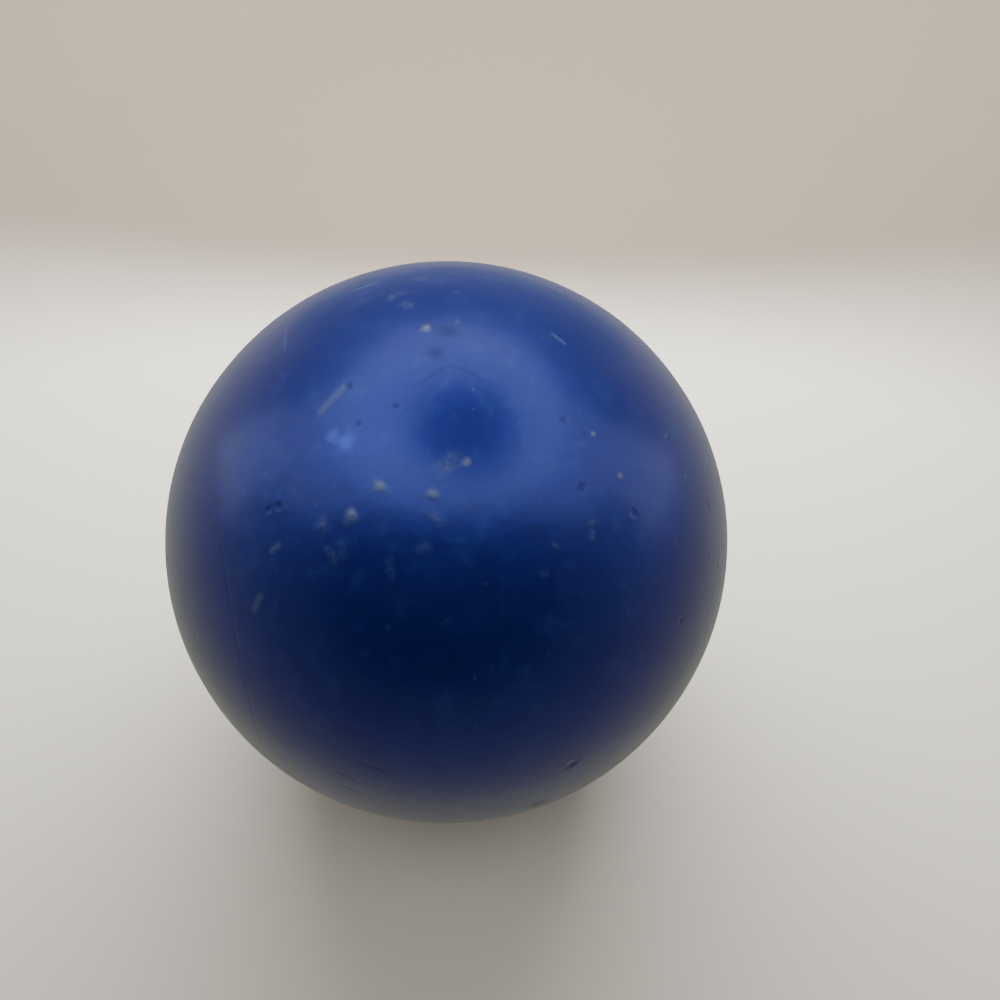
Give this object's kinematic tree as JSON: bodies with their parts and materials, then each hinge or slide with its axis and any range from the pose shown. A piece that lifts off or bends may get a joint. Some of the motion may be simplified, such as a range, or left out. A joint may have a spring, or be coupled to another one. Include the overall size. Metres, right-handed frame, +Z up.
{
  "type": "medicine ball",
  "caption": "Small soft weighted ball for the hand: a moulded vinyl shell part-filled with sand, with a flush filling valve closed by a rubber bung.",
  "frame": {"origin": "centre of the ball", "axes": "+Z up, normal to the level top of the settled sand; +Y out through the middle of the filling valve"},
  "size_m": [0.095, 0.0946, 0.095],
  "materials": {
    "shell_vinyl": "satin",
    "valve_vinyl": "satin",
    "bung_rubber": "matte",
    "sand": "matte"
  },
  "bodies": {
    "ball": {"shell": "shell_vinyl", "valve_housing": "valve_vinyl", "sand_fill": "sand"},
    "bung": {"filler_bung": "bung_rubber"}
  },
  "joints": [
    {"name": "bung_pull", "type": "slide", "parent": "ball", "child": "bung", "axis": [0, 1, 0], "range_m": [0, 0.022]}
  ]
}
